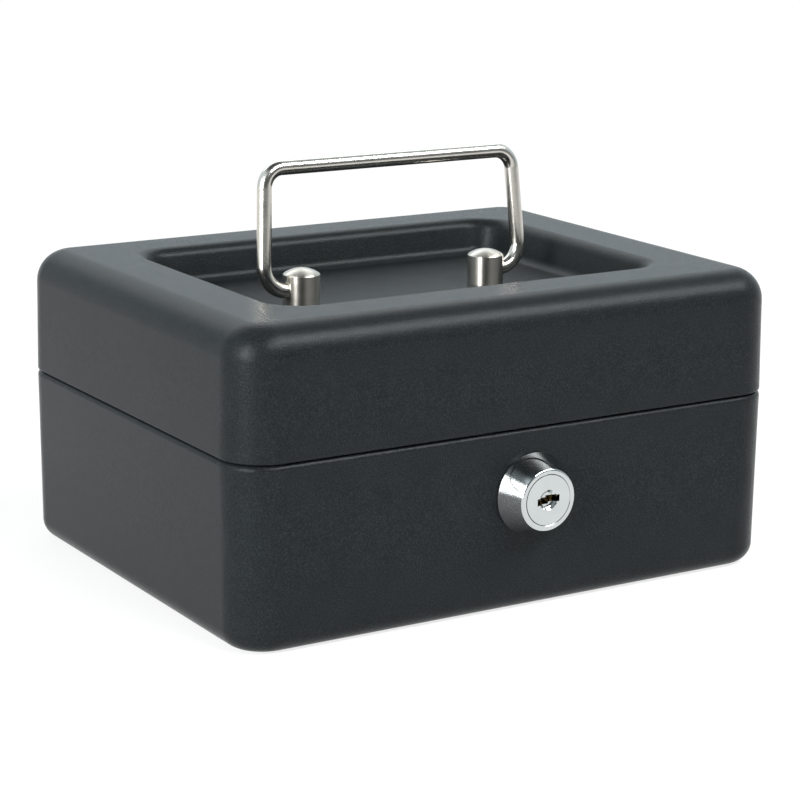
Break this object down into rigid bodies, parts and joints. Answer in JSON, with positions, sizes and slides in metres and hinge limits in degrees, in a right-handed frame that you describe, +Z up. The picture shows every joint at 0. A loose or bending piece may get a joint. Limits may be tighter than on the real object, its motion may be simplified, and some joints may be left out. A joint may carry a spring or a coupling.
{
  "type": "cash box",
  "caption": "Deep-drawn steel cash box with a hinged lid, a wire handle that folds into a lid recess, a keyed cam lock in front and a coin tray inside.",
  "frame": {"origin": "middle of the flat underside of the box", "axes": "+X to the right along the front, +Y from the lock in front to the hinges at the back, +Z up"},
  "size_m": [0.152, 0.1292, 0.1026],
  "materials": {
    "powder_coat": "fine textured anthracite powder coat on steel sheet",
    "lock_chrome": "bright chrome plate on zinc casting",
    "nickel_wire": "polished nickel plate on steel wire",
    "nickel_post": "turned and nickel plated steel",
    "zinc_steel": "zinc plated steel",
    "wafer_brass": "stamped brass",
    "tray_plastic": "moulded black polystyrene, fine matt grain"
  },
  "bodies": {
    "base": {"base_shell": "powder_coat", "lock_housing": "lock_chrome", "lock_washer": "zinc_steel", "lock_nut": "zinc_steel", "hinge_base_leaf_left": "powder_coat", "hinge_base_leaf_right": "powder_coat", "hinge_pin_left": "zinc_steel", "hinge_pin_right": "zinc_steel"},
    "lid": {"lid_shell": "powder_coat", "lid_catch": "zinc_steel", "hinge_lid_leaf_left": "powder_coat", "hinge_lid_leaf_right": "powder_coat", "handle_post_left": "nickel_post", "handle_post_right": "nickel_post", "post_washer_left": "zinc_steel", "post_washer_right": "zinc_steel"},
    "handle": {"handle_bail": "nickel_wire"},
    "lock_core": {"lock_plug": "lock_chrome", "wafer_tumblers": "wafer_brass", "lock_cam": "zinc_steel", "cam_washer": "zinc_steel", "cam_screw": "zinc_steel"},
    "tray": {"coin_tray": "tray_plastic"}
  },
  "joints": [
    {"name": "lid_hinge", "type": "hinge", "parent": "base", "child": "lid", "pos_m": [0, 0.06, 0.045], "axis": [-1, 0, 0], "range_deg": [0, 100]},
    {"name": "handle_fold", "type": "hinge", "parent": "lid", "child": "handle", "pos_m": [0, 0, 0.0706], "axis": [1, 0, 0], "range_deg": [-87, 97]},
    {"name": "lock_turn", "type": "hinge", "parent": "base", "child": "lock_core", "pos_m": [0.0018, -0.05, 0.029], "axis": [0, 1, 0], "range_deg": [0, 90]},
    {"name": "tray_lift", "type": "slide", "parent": "base", "child": "tray", "axis": [0, 0, 1], "range_m": [0, 0.012]}
  ]
}
